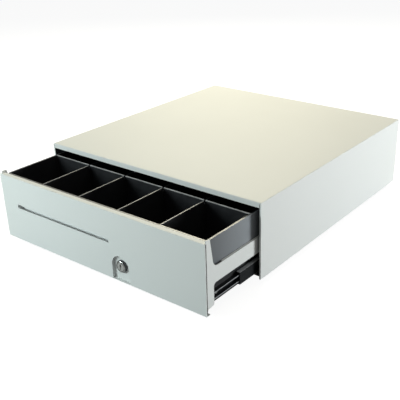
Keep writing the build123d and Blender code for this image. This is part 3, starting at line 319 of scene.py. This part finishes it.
def ball_steel():
    finish = Finish("ground_balls", (0.72, 0.72, 0.74), 0.15, metallic=1.0)
    greasy = finish.noise(140.0, 3.0)
    finish.drive("Roughness", finish.span(greasy, 0.3, 0.7, 0.08, 0.3))
    finish.drive("Base Color", finish.blend(greasy, (0.74, 0.74, 0.76), (0.52, 0.50, 0.45)))
    return finish.material


def till_plastic():
    """Moulded black plastic: fine grain on the walls; rims paler in the coin section, painted
    highlight mixed with scuffing; and an outer side lightened toward the rear, a painted
    reflection.
    """
    finish = Finish("till_plastic", (0.016, 0.016, 0.018), 0.36)
    rub = finish.noise(85.0, 5.0)
    # The paler rims are painted highlight along the coin section's top edges, broken by rub noise
    # as scuffing.
    rim = finish.span(finish.axis(2), TILL_HIGH.z - 0.8 * MM, TILL_HIGH.z - 0.45 * MM)
    reach = finish.math("LESS_THAN", finish.axis(1), CROSS_REAR)
    between = finish.math("LESS_THAN", finish.away(0), TILL_HIGH.x - 2.8 * MM)
    highlit_rims = finish.math("MULTIPLY", finish.math("MULTIPLY", rim, reach),
                          finish.span(between, 0, 1, 0.3, 1.0))
    marked = finish.math("MULTIPLY", highlit_rims, finish.span(rub, 0.25, 0.6, 0.6, 1.0))
    # The outer side's lighter grey, rising toward the rear, is a painted reflection.
    outer = finish.span(finish.away(0), TILL_HIGH.x - 0.4 * MM, TILL_HIGH.x - 0.1 * MM)
    reflection_ramp = finish.span(finish.axis(1), TILL_LOW.y, CROSS_REAR, 0.35, 1.0)
    outer = finish.math("MULTIPLY", outer, reflection_ramp)
    wall = finish.blend(finish.noise(25.0, 4.0), (0.011, 0.011, 0.013), (0.022, 0.022, 0.025))
    lightened = finish.blend(outer, wall, (0.29, 0.31, 0.335))
    # A near-white painted highlight on the cross wall's rim.
    crossing = finish.math("GREATER_THAN", finish.axis(1), CROSS_REAR - 3.0 * MM)
    rim_highlight_tone = finish.blend(crossing, (0.26, 0.26, 0.27), (0.85, 0.85, 0.86))
    finish.drive("Base Color", finish.blend(marked, lightened, rim_highlight_tone))
    finish.drive("Roughness", finish.span(rub, 0.3, 0.7, 0.30, 0.44))
    finish.bump(finish.noise(1900.0, 3.0), 0.00003, 0.5)
    finish.set("Coat Weight", 0.15)
    finish.set("Coat Roughness", 0.25)
    return finish.material


def moulded_black():
    finish = Finish("moulded_black", (0.02, 0.02, 0.021), 0.4)
    tone = finish.blend(finish.noise(45.0, 4.0), (0.014, 0.014, 0.015), (0.03, 0.03, 0.032))
    finish.drive("Base Color", tone)
    finish.drive("Roughness", finish.span(finish.noise(160.0, 3.0), 0.3, 0.7, 0.3, 0.48))
    finish.bump(finish.noise(1400.0, 2.0), 0.00003, 0.4)
    return finish.material


def rubber():
    finish = Finish("moulded_rubber", (0.03, 0.03, 0.03), 0.75, specular=0.3)
    lightened = finish.span(finish.noise(120.0, 5.0), 0.45, 0.75)
    finish.drive("Base Color", finish.blend(lightened, (0.022, 0.022, 0.022), (0.055, 0.053, 0.05)))
    finish.drive("Roughness", finish.span(finish.noise(300.0, 2.0), 0.3, 0.7, 0.65, 0.85))
    finish.bump(finish.noise(2200.0, 3.0), 0.00005, 0.6)
    return finish.material


def coil_bobbin():
    finish = Finish("coil_bobbin", (0.35, 0.1, 0.05), 0.45)
    tone = finish.blend(finish.noise(200.0, 3.0), (0.30, 0.08, 0.035), (0.42, 0.13, 0.06))
    finish.drive("Base Color", tone)
    finish.bump(finish.noise(900.0, 2.0), 0.00005, 0.4)
    return finish.material


def enamelled_copper():
    finish = Finish("enamelled_copper", (0.62, 0.22, 0.08), 0.3, metallic=1.0)
    tone = finish.blend(finish.noise(500.0, 2.0), (0.55, 0.18, 0.06), (0.72, 0.28, 0.11))
    finish.drive("Base Color", tone)
    finish.set("Coat Weight", 0.6)
    finish.set("Coat Roughness", 0.12)
    return finish.material


def circuit_laminate():
    """Green solder mask over copper tracks, which show as raised, paler lines."""
    finish = Finish("circuit_laminate", (0.01, 0.12, 0.05), 0.3)
    brick = finish.node("ShaderNodeTexBrick")
    finish.feed(brick, "Vector", finish.place)
    for socket, value in (("Scale", 240.0), ("Mortar Size", 0.09), ("Mortar Smooth", 0.1)):
        brick.inputs[socket].default_value = value
    tracks = brick.outputs["Fac"]
    routed = finish.math("MULTIPLY", tracks, finish.span(finish.noise(90.0, 1.0), 0.45, 0.5))
    finish.drive("Base Color", finish.blend(routed, (0.008, 0.095, 0.04), (0.03, 0.22, 0.08)))
    finish.bump(routed, 0.00004, 0.5)
    finish.set("Coat Weight", 0.4)
    finish.set("Coat Roughness", 0.1)
    return finish.material


def connector_nylon():
    finish = Finish("connector_nylon", (0.72, 0.69, 0.60), 0.45)
    tone = finish.blend(finish.noise(150.0, 3.0), (0.68, 0.65, 0.56), (0.77, 0.74, 0.66))
    finish.drive("Base Color", tone)
    finish.bump(finish.noise(1200.0, 2.0), 0.00003, 0.3)
    return finish.material


def wire_jacket():
    finish = Finish("wire_jacket", (0.35, 0.02, 0.02), 0.4)
    tone = finish.blend(finish.noise(300.0, 3.0), (0.30, 0.015, 0.012), (0.42, 0.03, 0.025))
    finish.drive("Base Color", tone)
    finish.bump(finish.noise(1300.0, 2.0), 0.00003, 0.4)
    finish.set("Coat Weight", 0.2)
    return finish.material


def gilt():
    finish = Finish("gilt_contacts", (0.85, 0.62, 0.25), 0.22, metallic=1.0)
    finish.drive("Roughness", finish.span(finish.noise(900.0, 3.0), 0.3, 0.7, 0.15, 0.35))
    return finish.material


def brass():
    finish = Finish("brass_wafers", (0.72, 0.52, 0.24), 0.3, metallic=1.0)
    tone = finish.blend(finish.noise(700.0, 4.0), (0.62, 0.42, 0.18), (0.80, 0.62, 0.32))
    finish.drive("Base Color", tone)
    finish.drive("Roughness", finish.span(finish.noise(500.0, 3.0), 0.3, 0.7, 0.2, 0.45))
    return finish.material


def spring_steel():
    finish = Finish("spring_steel", (0.5, 0.5, 0.5), 0.3, metallic=1.0)
    drawn = finish.noise(700.0, 3.0)
    finish.drive("Base Color", finish.blend(drawn, (0.42, 0.42, 0.43), (0.6, 0.6, 0.59)))
    finish.drive("Roughness", finish.span(drawn, 0.3, 0.7, 0.22, 0.4))
    return finish.material


MATERIALS = {
    "painted_steel": powder_coat(),
    "black_steel": black_enamel(),
    "slide_steel": slide_steel(),
    "zinc_steel": zinc_plate(),
    "bright_steel": nickel(),
    "ball_steel": ball_steel(),
    "till_plastic": till_plastic(),
    "black_plastic": moulded_black(),
    "rubber": rubber(),
    "coil": coil_bobbin(),
    "board": circuit_laminate(),
    "connector": connector_nylon(),
    "wire": wire_jacket(),
}
GILT = gilt()
BRASS = brass()
COPPER = enamelled_copper()
SPRING_STEEL = spring_steel()


def dress(node, material):
    mesh = frame["nodes"][node].data
    mesh.materials.clear()
    mesh.materials.append(material)


for part in frame["record"]["subparts"]:
    dress(part["node"], MATERIALS[part["material_slot"]])
dress("case_cover", case_coat())
dress("lock_plug", satin_nickel())
dress("media_chute", chute_lightened_coat())


# ---- new pieces ----
def piece(name, mesh, body, material=None):
    """A finished mesh as a piece of the object that moves with a body."""
    made = bpy.data.objects.new(name, mesh)
    bpy.context.scene.collection.objects.link(made)
    if material:
        mesh.materials.clear()
        mesh.materials.append(material)
    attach(made, body)
    return made


SHARP_ANGLE = math.radians(35)


def shade_smooth(mesh):
    mesh.polygons.foreach_set("use_smooth", [True] * len(mesh.polygons))
    mesh.set_sharp_from_angle(angle=SHARP_ANGLE)


def mesh_of(carrier, name):
    """What a scratch object comes to once it is evaluated, as a smooth mesh; the object goes."""
    graph = bpy.context.evaluated_depsgraph_get()
    mesh = bpy.data.meshes.new_from_object(carrier.evaluated_get(graph))
    bpy.data.objects.remove(carrier)
    mesh.name = name
    shade_smooth(mesh)
    return mesh


def lathe(name, profile, centre):
    """A solid turned about the y axis through centre, from a closed loop of (radius, y) pairs."""
    steps = 96
    mesh = bpy.data.meshes.new(name)
    shape = bmesh.new()
    rings = []
    for step in range(steps):
        turn = 2 * math.pi * step / steps
        across, up = math.cos(turn), math.sin(turn)
        rings.append([shape.verts.new((centre.x + r * across, y, centre.z + r * up))
                      for r, y in profile])
    for ring, following in zip(rings, rings[1:] + rings[:1]):
        for i in range(len(profile)):
            j = (i + 1) % len(profile)
            shape.faces.new((ring[i], ring[j], following[j], following[i]))
    bmesh.ops.recalc_face_normals(shape, faces=shape.faces)
    shape.to_mesh(mesh)
    shape.free()
    shade_smooth(mesh)
    return mesh


# ---- Geometry Nodes: two trees that make what repeats ----
class Growth:
    """A Geometry Nodes tree with named inputs."""

    def __init__(self, name, inputs):
        self.tree = bpy.data.node_groups.new(name, "GeometryNodeTree")
        self.sockets = {}
        for label, kind in inputs:
            socket = self.tree.interface.new_socket(name=label, in_out="INPUT", socket_type=kind)
            self.sockets[label] = socket.identifier
        self.tree.interface.new_socket(
            name="Geometry", in_out="OUTPUT", socket_type="NodeSocketGeometry")
        self.given = self.tree.nodes.new("NodeGroupInput")

    def node(self, kind, links=(), **settings):
        made = self.tree.nodes.new(kind)
        for key, value in settings.items():
            setattr(made, key, value)
        for socket, source in links:
            if isinstance(source, bpy.types.NodeSocket):
                self.tree.links.new(source, made.inputs[socket])
            else:
                made.inputs[socket].default_value = source
        return made

    def value(self, label):
        return self.given.outputs[label]

    def end(self, geometry):
        real = self.node("GeometryNodeRealizeInstances", [(0, geometry)])
        painted = self.node("GeometryNodeSetMaterial", [
            (0, real.outputs[0]), (2, self.value("Material"))])
        out = self.tree.nodes.new("NodeGroupOutput")
        self.tree.links.new(painted.outputs[0], out.inputs[0])

    def grow(self, name, values, body, slot):
        """The tree's result as a plain mesh that rides on a body."""
        carrier = bpy.data.objects.new(name + "_tree", bpy.data.meshes.new(name + "_tree"))
        bpy.context.scene.collection.objects.link(carrier)
        modifier = carrier.modifiers.new("growth", "NODES")
        modifier.node_group = self.tree
        for label, value in values.items():
            modifier[self.sockets[label]] = value
        return piece(name, mesh_of(carrier, name), body)


def rings_tree():
    """Round wire rings in a row along y: the coil's winding and the feet's treads."""
    growth = Growth("ring_row", [
        ("Count", "NodeSocketInt"), ("Pitch", "NodeSocketFloat"), ("Radius", "NodeSocketFloat"),
        ("Growth per ring", "NodeSocketFloat"), ("Wire radius", "NodeSocketFloat"),
        ("Start", "NodeSocketVector"), ("Turn", "NodeSocketVector"),
        ("Material", "NodeSocketMaterial"),
    ])
    step = growth.node("ShaderNodeCombineXYZ", [(1, growth.value("Pitch"))])
    row = growth.node("GeometryNodeMeshLine", [
        ("Count", growth.value("Count")), ("Offset", step.outputs[0])])
    ring = growth.node("GeometryNodeCurvePrimitiveCircle", [("Resolution", 64), ("Radius", 1.0)])
    upright = growth.node("GeometryNodeTransform", [
        (0, ring.outputs[0]), ("Rotation", (math.pi / 2, 0, 0))])
    index = growth.node("GeometryNodeInputIndex")
    grown = growth.node("ShaderNodeMath", [
        (0, index.outputs[0]), (1, growth.value("Growth per ring")), (2, growth.value("Radius")),
    ], operation="MULTIPLY_ADD")
    placed = growth.node("GeometryNodeInstanceOnPoints", [
        ("Points", row.outputs[0]), ("Instance", upright.outputs[0]), ("Scale", grown.outputs[0])])
    real = growth.node("GeometryNodeRealizeInstances", [(0, placed.outputs[0])])
    section = growth.node("GeometryNodeCurvePrimitiveCircle", [
        ("Resolution", 8), ("Radius", growth.value("Wire radius"))])
    wire = growth.node("GeometryNodeCurveToMesh", [(0, real.outputs[0]), (1, section.outputs[0])])
    turned = growth.node("GeometryNodeTransform", [
        (0, wire.outputs[0]), ("Translation", growth.value("Start")),
        ("Rotation", growth.value("Turn"))])
    growth.end(turned.outputs[0])
    return growth


def blocks_tree():
    """Small blocks on a grid: contacts, pins, chip legs, grip ribs."""
    growth = Growth("block_grid", [
        ("Count X", "NodeSocketInt"), ("Count Y", "NodeSocketInt"),
        ("Pitch X", "NodeSocketFloat"), ("Pitch Y", "NodeSocketFloat"),
        ("Block", "NodeSocketVector"), ("Centre", "NodeSocketVector"),
        ("Turn", "NodeSocketVector"), ("Material", "NodeSocketMaterial"),
    ])

    def width(count, pitch):
        gaps = growth.node("ShaderNodeMath", [
            (0, growth.value(count)), (1, 1.0)], operation="SUBTRACT")
        size = growth.node("ShaderNodeMath", [
            (0, gaps.outputs[0]), (1, growth.value(pitch))], operation="MULTIPLY")
        return size.outputs[0]

    grid = growth.node("GeometryNodeMeshGrid", [
        ("Size X", width("Count X", "Pitch X")), ("Size Y", width("Count Y", "Pitch Y")),
        ("Vertices X", growth.value("Count X")), ("Vertices Y", growth.value("Count Y"))])
    block = growth.node("GeometryNodeMeshCube", [("Size", growth.value("Block"))])
    placed = growth.node("GeometryNodeInstanceOnPoints", [
        ("Points", grid.outputs[0]), ("Instance", block.outputs[0])])
    turned = growth.node("GeometryNodeTransform", [
        (0, placed.outputs[0]), ("Translation", growth.value("Centre")),
        ("Rotation", growth.value("Turn"))])
    growth.end(turned.outputs[0])
    return growth


RINGS = rings_tree()
BLOCKS = blocks_tree()


# ---- lock ----
def lock_face():
    """A turned, rounded bezel over the barrel's front, and brass wafers inside the keyway."""
    low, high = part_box("lock_barrel")
    plug_low, plug_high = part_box("lock_plug")
    front = low.y
    outer = (high.x - low.x) / 2
    inner = (plug_high.x - plug_low.x) / 2
    crest = (outer + inner) / 2
    bulge = 1.1 * MM
    clear = 0.2 * MM
    foot = front + 1.6 * MM
    arc_steps = 12
    profile = []
    for step in range(arc_steps + 1):
        angle = math.pi * step / arc_steps
        profile.append((crest - (crest - inner - clear) * math.cos(angle),
                        front + bulge * (1 - math.sin(angle))))
    profile += [(outer - 0.3 * MM, foot), (inner + clear, foot)]
    mesh = lathe("lock_bezel", profile, LOCK)
    piece("lock_bezel", mesh, "drawer", MATERIALS["bright_steel"])
    BLOCKS.grow("lock_wafers", {
        "Count X": 1, "Count Y": 5, "Pitch X": 0.0, "Pitch Y": 1.4 * MM,
        "Block": (1.5 * MM, 0.5 * MM, 3.0 * MM),
        "Centre": (LOCK.x, front + 7.5 * MM, LOCK.z - 2.9 * MM), "Turn": (0.0, 0.0, 0.0),
        "Material": BRASS,
    }, "lock_turning", "bright_steel")


lock_face()


# ---- springs ----
def helix(name, start, along, length, radius, wire, turns):
    """A compression spring's round wire, wound about along, with a close turn at either end."""
    side = Vector((1.0, 0.0, 0.0))
    up = along.cross(side)
    end = 1.0 / turns
    steps = turns * 28
    points = []
    for step in range(steps + 1):
        share = step / steps
        if share < end:
            at = wire * (2 + turns * share)
        elif share < 1 - end:
            at = 3 * wire + (share - end) / (1 - 2 * end) * (length - 4 * wire)
        else:
            at = length - wire * (1 + turns * (1 - share))
        turn = 2 * math.pi * turns * share
        points.append(start + along * at + radius * (math.cos(turn) * side + math.sin(turn) * up))
    curve = bpy.data.curves.new(name, "CURVE")
    curve.dimensions = "3D"
    curve.bevel_depth = wire
    curve.bevel_resolution = 3
    curve.use_fill_caps = True
    spline = curve.splines.new("POLY")
    spline.points.add(len(points) - 1)
    for target, point in zip(spline.points, points):
        target.co = (*point, 1.0)
    carrier = bpy.data.objects.new(name + "_line", curve)
    bpy.context.scene.collection.objects.link(carrier)
    return mesh_of(carrier, name)


def springs():
    """The ejector's coil, which is held at its rear end, and the latch's, held at its top."""
    low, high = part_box("ejector_spring")
    wire = 0.7 * MM
    start = Vector(((low.x + high.x) / 2, high.y, (low.z + high.z) / 2))
    mesh = helix("ejector_coil", start, Vector((0, -1, 0)), high.y - low.y,
                 (high.x - low.x) / 2 - wire, wire, 13)
    coil = piece("ejector_coil", mesh, "case", SPRING_STEEL)
    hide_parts("ejector_spring")
    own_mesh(coil)

    low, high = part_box("latch_spring")
    wire = 0.4 * MM
    start = Vector(((low.x + high.x) / 2, (low.y + high.y) / 2, high.z))
    mesh = helix("latch_coil", start, Vector((0, 0, -1)), high.z - low.z,
                 (high.x - low.x) / 2 - wire, wire, 7)
    coil = piece("latch_coil", mesh, "case", SPRING_STEEL)
    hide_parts("latch_spring")
    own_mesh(coil)


springs()


# ---- feet, winding, electronics ----
def foot_treads():
    """Four rings under each foot."""
    low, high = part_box("rubber_feet")
    foot_radius = 9 * MM
    reach = 7.8 * MM
    spots = [(x, y) for x in (low.x + foot_radius, high.x - foot_radius)
             for y in (low.y + foot_radius, high.y - foot_radius)]
    for number, (x, y) in enumerate(spots, 1):
        RINGS.grow(f"foot_tread_{number}", {
            "Count": 4, "Pitch": 0.0, "Radius": reach * 0.3, "Growth per ring": reach * 0.2,
            "Wire radius": 0.35 * MM, "Start": (x, y, 0.38 * MM), "Turn": (math.pi / 2, 0, 0),
            "Material": MATERIALS["rubber"],
        }, "case", "rubber")


def coil_winding():
    """The outer layer of copper, between the bobbin's flanges."""
    low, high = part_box("solenoid_coil")
    middle = middle_of("solenoid_frame")
    flanges = 3.6 * MM
    pitch = 0.62 * MM
    count = int((high.y - low.y - flanges) / pitch)
    RINGS.grow("coil_winding", {
        "Count": count, "Pitch": pitch, "Radius": 9.5 * MM, "Growth per ring": 0.0,
        "Wire radius": 0.33 * MM, "Turn": (0.0, 0.0, 0.0), "Material": COPPER,
        "Start": (0.0, middle.y - (count - 1) * pitch / 2, middle.z),
    }, "case", "coil")


def electronics():
    """The modular socket's contacts, the pins in the two headers, and the chip's legs."""
    low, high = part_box("interface_socket")
    BLOCKS.grow("socket_contacts", {
        "Count X": 6, "Count Y": 1, "Pitch X": 1.27 * MM, "Pitch Y": 0.0,
        "Block": (0.45 * MM, 9 * MM, 0.35 * MM), "Turn": (0.32, 0.0, 0.0), "Material": GILT,
        "Centre": ((low.x + high.x) / 2, high.y - 7.5 * MM, low.z + 8.6 * MM),
    }, "case", "zinc_steel")
    low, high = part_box("circuit_board")
    for number, offset in enumerate((6.0 * MM, 18.0 * MM), 1):
        BLOCKS.grow(f"header_pins_{number}", {
            "Count X": 3, "Count Y": 2, "Pitch X": 2.5 * MM, "Pitch Y": 2.5 * MM,
            "Block": (0.6 * MM, 0.6 * MM, 2.4 * MM), "Turn": (0.0, 0.0, 0.0), "Material": GILT,
            "Centre": (low.x + offset, low.y + 7 * MM, low.z - 0.9 * MM),
        }, "case", "zinc_steel")
    BLOCKS.grow("chip_legs", {
        "Count X": 8, "Count Y": 2, "Pitch X": 1.27 * MM, "Pitch Y": 9.0 * MM,
        "Block": (0.45 * MM, 1.4 * MM, 0.3 * MM), "Turn": (0.0, 0.0, 0.0),
        "Centre": (low.x + 16 * MM, low.y + 20 * MM, high.z + 0.25 * MM),
        "Material": MATERIALS["zinc_steel"],
    }, "case", "zinc_steel")


def arm_grips():
    """Cross ribs on the top of each bill arm's pad, square to the pad's slope."""
    slope = math.radians(28.0)
    along_pad = 11 * MM
    over_pad = 4.4 * MM
    for number in range(1, 6):
        arm = f"bill_arm_{number}"
        low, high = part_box(arm)
        centre = ((low.x + high.x) / 2, low.y + math.cos(slope) * along_pad,
                  low.z + math.sin(slope) * along_pad + over_pad)
        BLOCKS.grow(f"bill_arm_grip_{number}", {
            "Count X": 1, "Count Y": 4, "Pitch X": 0.0, "Pitch Y": 2.6 * MM,
            "Block": (17 * MM, 0.8 * MM, 0.8 * MM), "Centre": centre, "Turn": (slope, 0.0, 0.0),
            "Material": MATERIALS["black_plastic"],
        }, arm, "black_plastic")


foot_treads()
coil_winding()
electronics()
arm_grips()


# ---- studio ----
def stage_floor():
    """A white sweep: bright to the camera, and dim in what it lends to the object."""
    mesh = bpy.data.meshes.new("studio_floor")
    half = 8.0
    corners = [(-half, -half, 0), (half, -half, 0), (half, half, 0), (-half, half, 0)]
    mesh.from_pydata(corners, [], [(0, 1, 2, 3)])
    floor = bpy.data.objects.new("studio_floor", mesh)
    bpy.context.scene.collection.objects.link(floor)
    material = bpy.data.materials.new("studio_white")
    material.use_nodes = True
    tree = material.node_tree
    shader = tree.nodes["Principled BSDF"]
    shader.inputs["Base Color"].default_value = (0.32, 0.32, 0.32, 1)
    shader.inputs["Roughness"].default_value = 0.9
    shader.inputs["Specular IOR Level"].default_value = 0.0
    shader.inputs["Emission Color"].default_value = (1, 1, 1, 1)
    path = tree.nodes.new("ShaderNodeLightPath")
    glow = tree.nodes.new("ShaderNodeMapRange")
    glow.inputs["To Min"].default_value = 0.08
    glow.inputs["To Max"].default_value = 0.9
    tree.links.new(path.outputs["Is Camera Ray"], glow.inputs["Value"])
    tree.links.new(glow.outputs["Result"], shader.inputs["Emission Strength"])
    mesh.materials.append(material)


def softbox(name, at, aim, size, power, color):
    """A rectangular lamp at a place, turned towards another."""
    light = bpy.data.lights.new(name, "AREA")
    light.shape = "RECTANGLE"
    light.size, light.size_y = size
    light.energy = power
    light.color = color
    lamp = bpy.data.objects.new(name, light)
    bpy.context.scene.collection.objects.link(lamp)
    direction = Vector(aim) - Vector(at)
    lamp.rotation_euler = direction.to_track_quat("-Z", "Y").to_euler()
    lamp.location = at


def studio_world():
    """White behind everything, and a weak cool light on the object."""
    world = bpy.data.worlds.new("studio")
    bpy.context.scene.world = world
    world.use_nodes = True
    tree = world.node_tree
    back = tree.nodes["Background"]
    back.inputs["Color"].default_value = (0.93, 0.97, 1.0, 1.0)
    back.inputs["Strength"].default_value = 0.13
    seen = tree.nodes.new("ShaderNodeBackground")
    seen.inputs["Color"].default_value = (1, 1, 1, 1)
    path = tree.nodes.new("ShaderNodeLightPath")
    either = tree.nodes.new("ShaderNodeMixShader")
    tree.links.new(path.outputs["Is Camera Ray"], either.inputs[0])
    tree.links.new(back.outputs[0], either.inputs[1])
    tree.links.new(seen.outputs[0], either.inputs[2])
    tree.links.new(either.outputs[0], tree.nodes["World Output"].inputs["Surface"])


def place_camera():
    camera = bpy.data.cameras.new("camera")
    camera.sensor_width = 36.0
    camera.lens = 62.32
    camera.shift_x = -0.0583
    camera.shift_y = 0.0277
    camera.clip_start = 0.05
    eye = bpy.data.objects.new("camera", camera)
    bpy.context.scene.collection.objects.link(eye)
    azimuth, elevation, roll = (math.radians(a) for a in (37.380, 25.387, -0.935))
    turn = Matrix.Rotation(azimuth, 4, "Z") @ Matrix.Rotation(math.pi / 2 - elevation, 4, "X")
    stand = Matrix.Translation((0.65924, -0.83711, 0.50180))
    eye.matrix_world = stand @ turn @ Matrix.Rotation(roll, 4, "Z")
    bpy.context.scene.camera = eye


stage_floor()
studio_world()
softbox("overhead_key", (-0.6, 0.8, 1.0), (0, 0.05, 0.12), (0.7, 0.7), 15.5, (1.0, 0.94, 0.73))
softbox("overhead_soft", (0.4, 0.0, 1.6), (0.1, 0.0, 0.12), (1.2, 1.2), 3.0, (1.0, 0.92, 0.72))
softbox("front_fill", (-0.55, -1.15, 0.4), (-0.1, -0.27, 0.06), (0.5, 0.4), 8.7, (0.86, 1.0, 0.99))
softbox("right_rear", (1.5, 0.9, 0.22), (0.2, 0.05, 0.06), (0.6, 0.36), 22.0, (0.95, 1.0, 1.0))
place_camera()
bpy.context.scene.view_settings.view_transform = "Standard"
